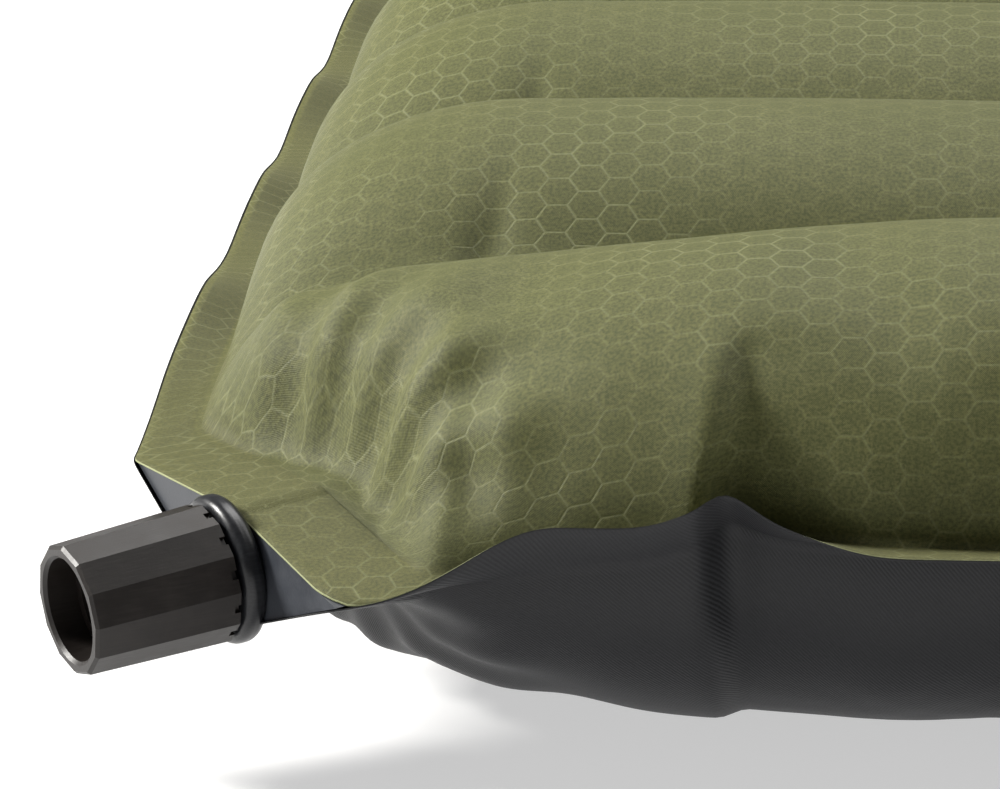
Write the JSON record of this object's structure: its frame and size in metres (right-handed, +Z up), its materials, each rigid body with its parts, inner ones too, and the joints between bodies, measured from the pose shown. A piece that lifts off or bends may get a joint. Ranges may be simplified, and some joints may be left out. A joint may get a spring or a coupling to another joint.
{
  "type": "inflatable sleeping pad",
  "caption": "Inflatable sleeping pad with lengthwise air tubes, insulated inside, with a twist-to-open corner valve.",
  "frame": {"origin": "on the floor under the middle of the box that holds the inflated pad and its valve", "axes": "+X along the tubes, away from the valve's end; +Y across the pad, away from the valve's side; +Z up"},
  "size_m": [1.8386, 0.52, 0.075],
  "materials": {
    "top_fabric": "matt olive green, thermally embossed",
    "bottom_fabric": "matt charcoal twill",
    "web_film": "coated film",
    "insulation": "non-woven batting",
    "valve_moulding": "satin black",
    "cap_moulding": "satin black, brushed facets",
    "seal": "matt black"
  },
  "bodies": {
    "pad": {"top_skin": "top_fabric", "bottom_skin": "bottom_fabric", "baffle_web_1": "web_film", "baffle_web_2": "web_film", "baffle_web_3": "web_film", "baffle_web_4": "web_film", "baffle_web_5": "web_film", "baffle_web_6": "web_film", "insulation_1": "insulation", "insulation_2": "insulation", "insulation_3": "insulation", "insulation_4": "insulation", "insulation_5": "insulation", "insulation_6": "insulation", "insulation_7": "insulation", "valve_housing": "valve_moulding", "barrel_seal": "seal", "stem_plug": "valve_moulding", "plug_seal": "seal"},
    "seal": {"seat_ring": "seal"},
    "cap": {"valve_cap": "cap_moulding"}
  },
  "joints": [
    {"name": "cap_lift", "type": "slide", "parent": "pad", "child": "seal", "axis": [-0.8191, -0.567, -0.0872], "range_m": [0, 0.0045]},
    {"name": "cap_turn", "type": "hinge", "parent": "seal", "child": "cap", "pos_m": [-0.91406, -0.24876, 0.02388], "axis": [-0.8191, -0.567, -0.0872], "range_deg": [0, 270]}
  ],
  "couplings": [
    {"joint": "cap_lift", "follows": "cap_turn", "m_per_rad": 0.00095493}
  ]
}
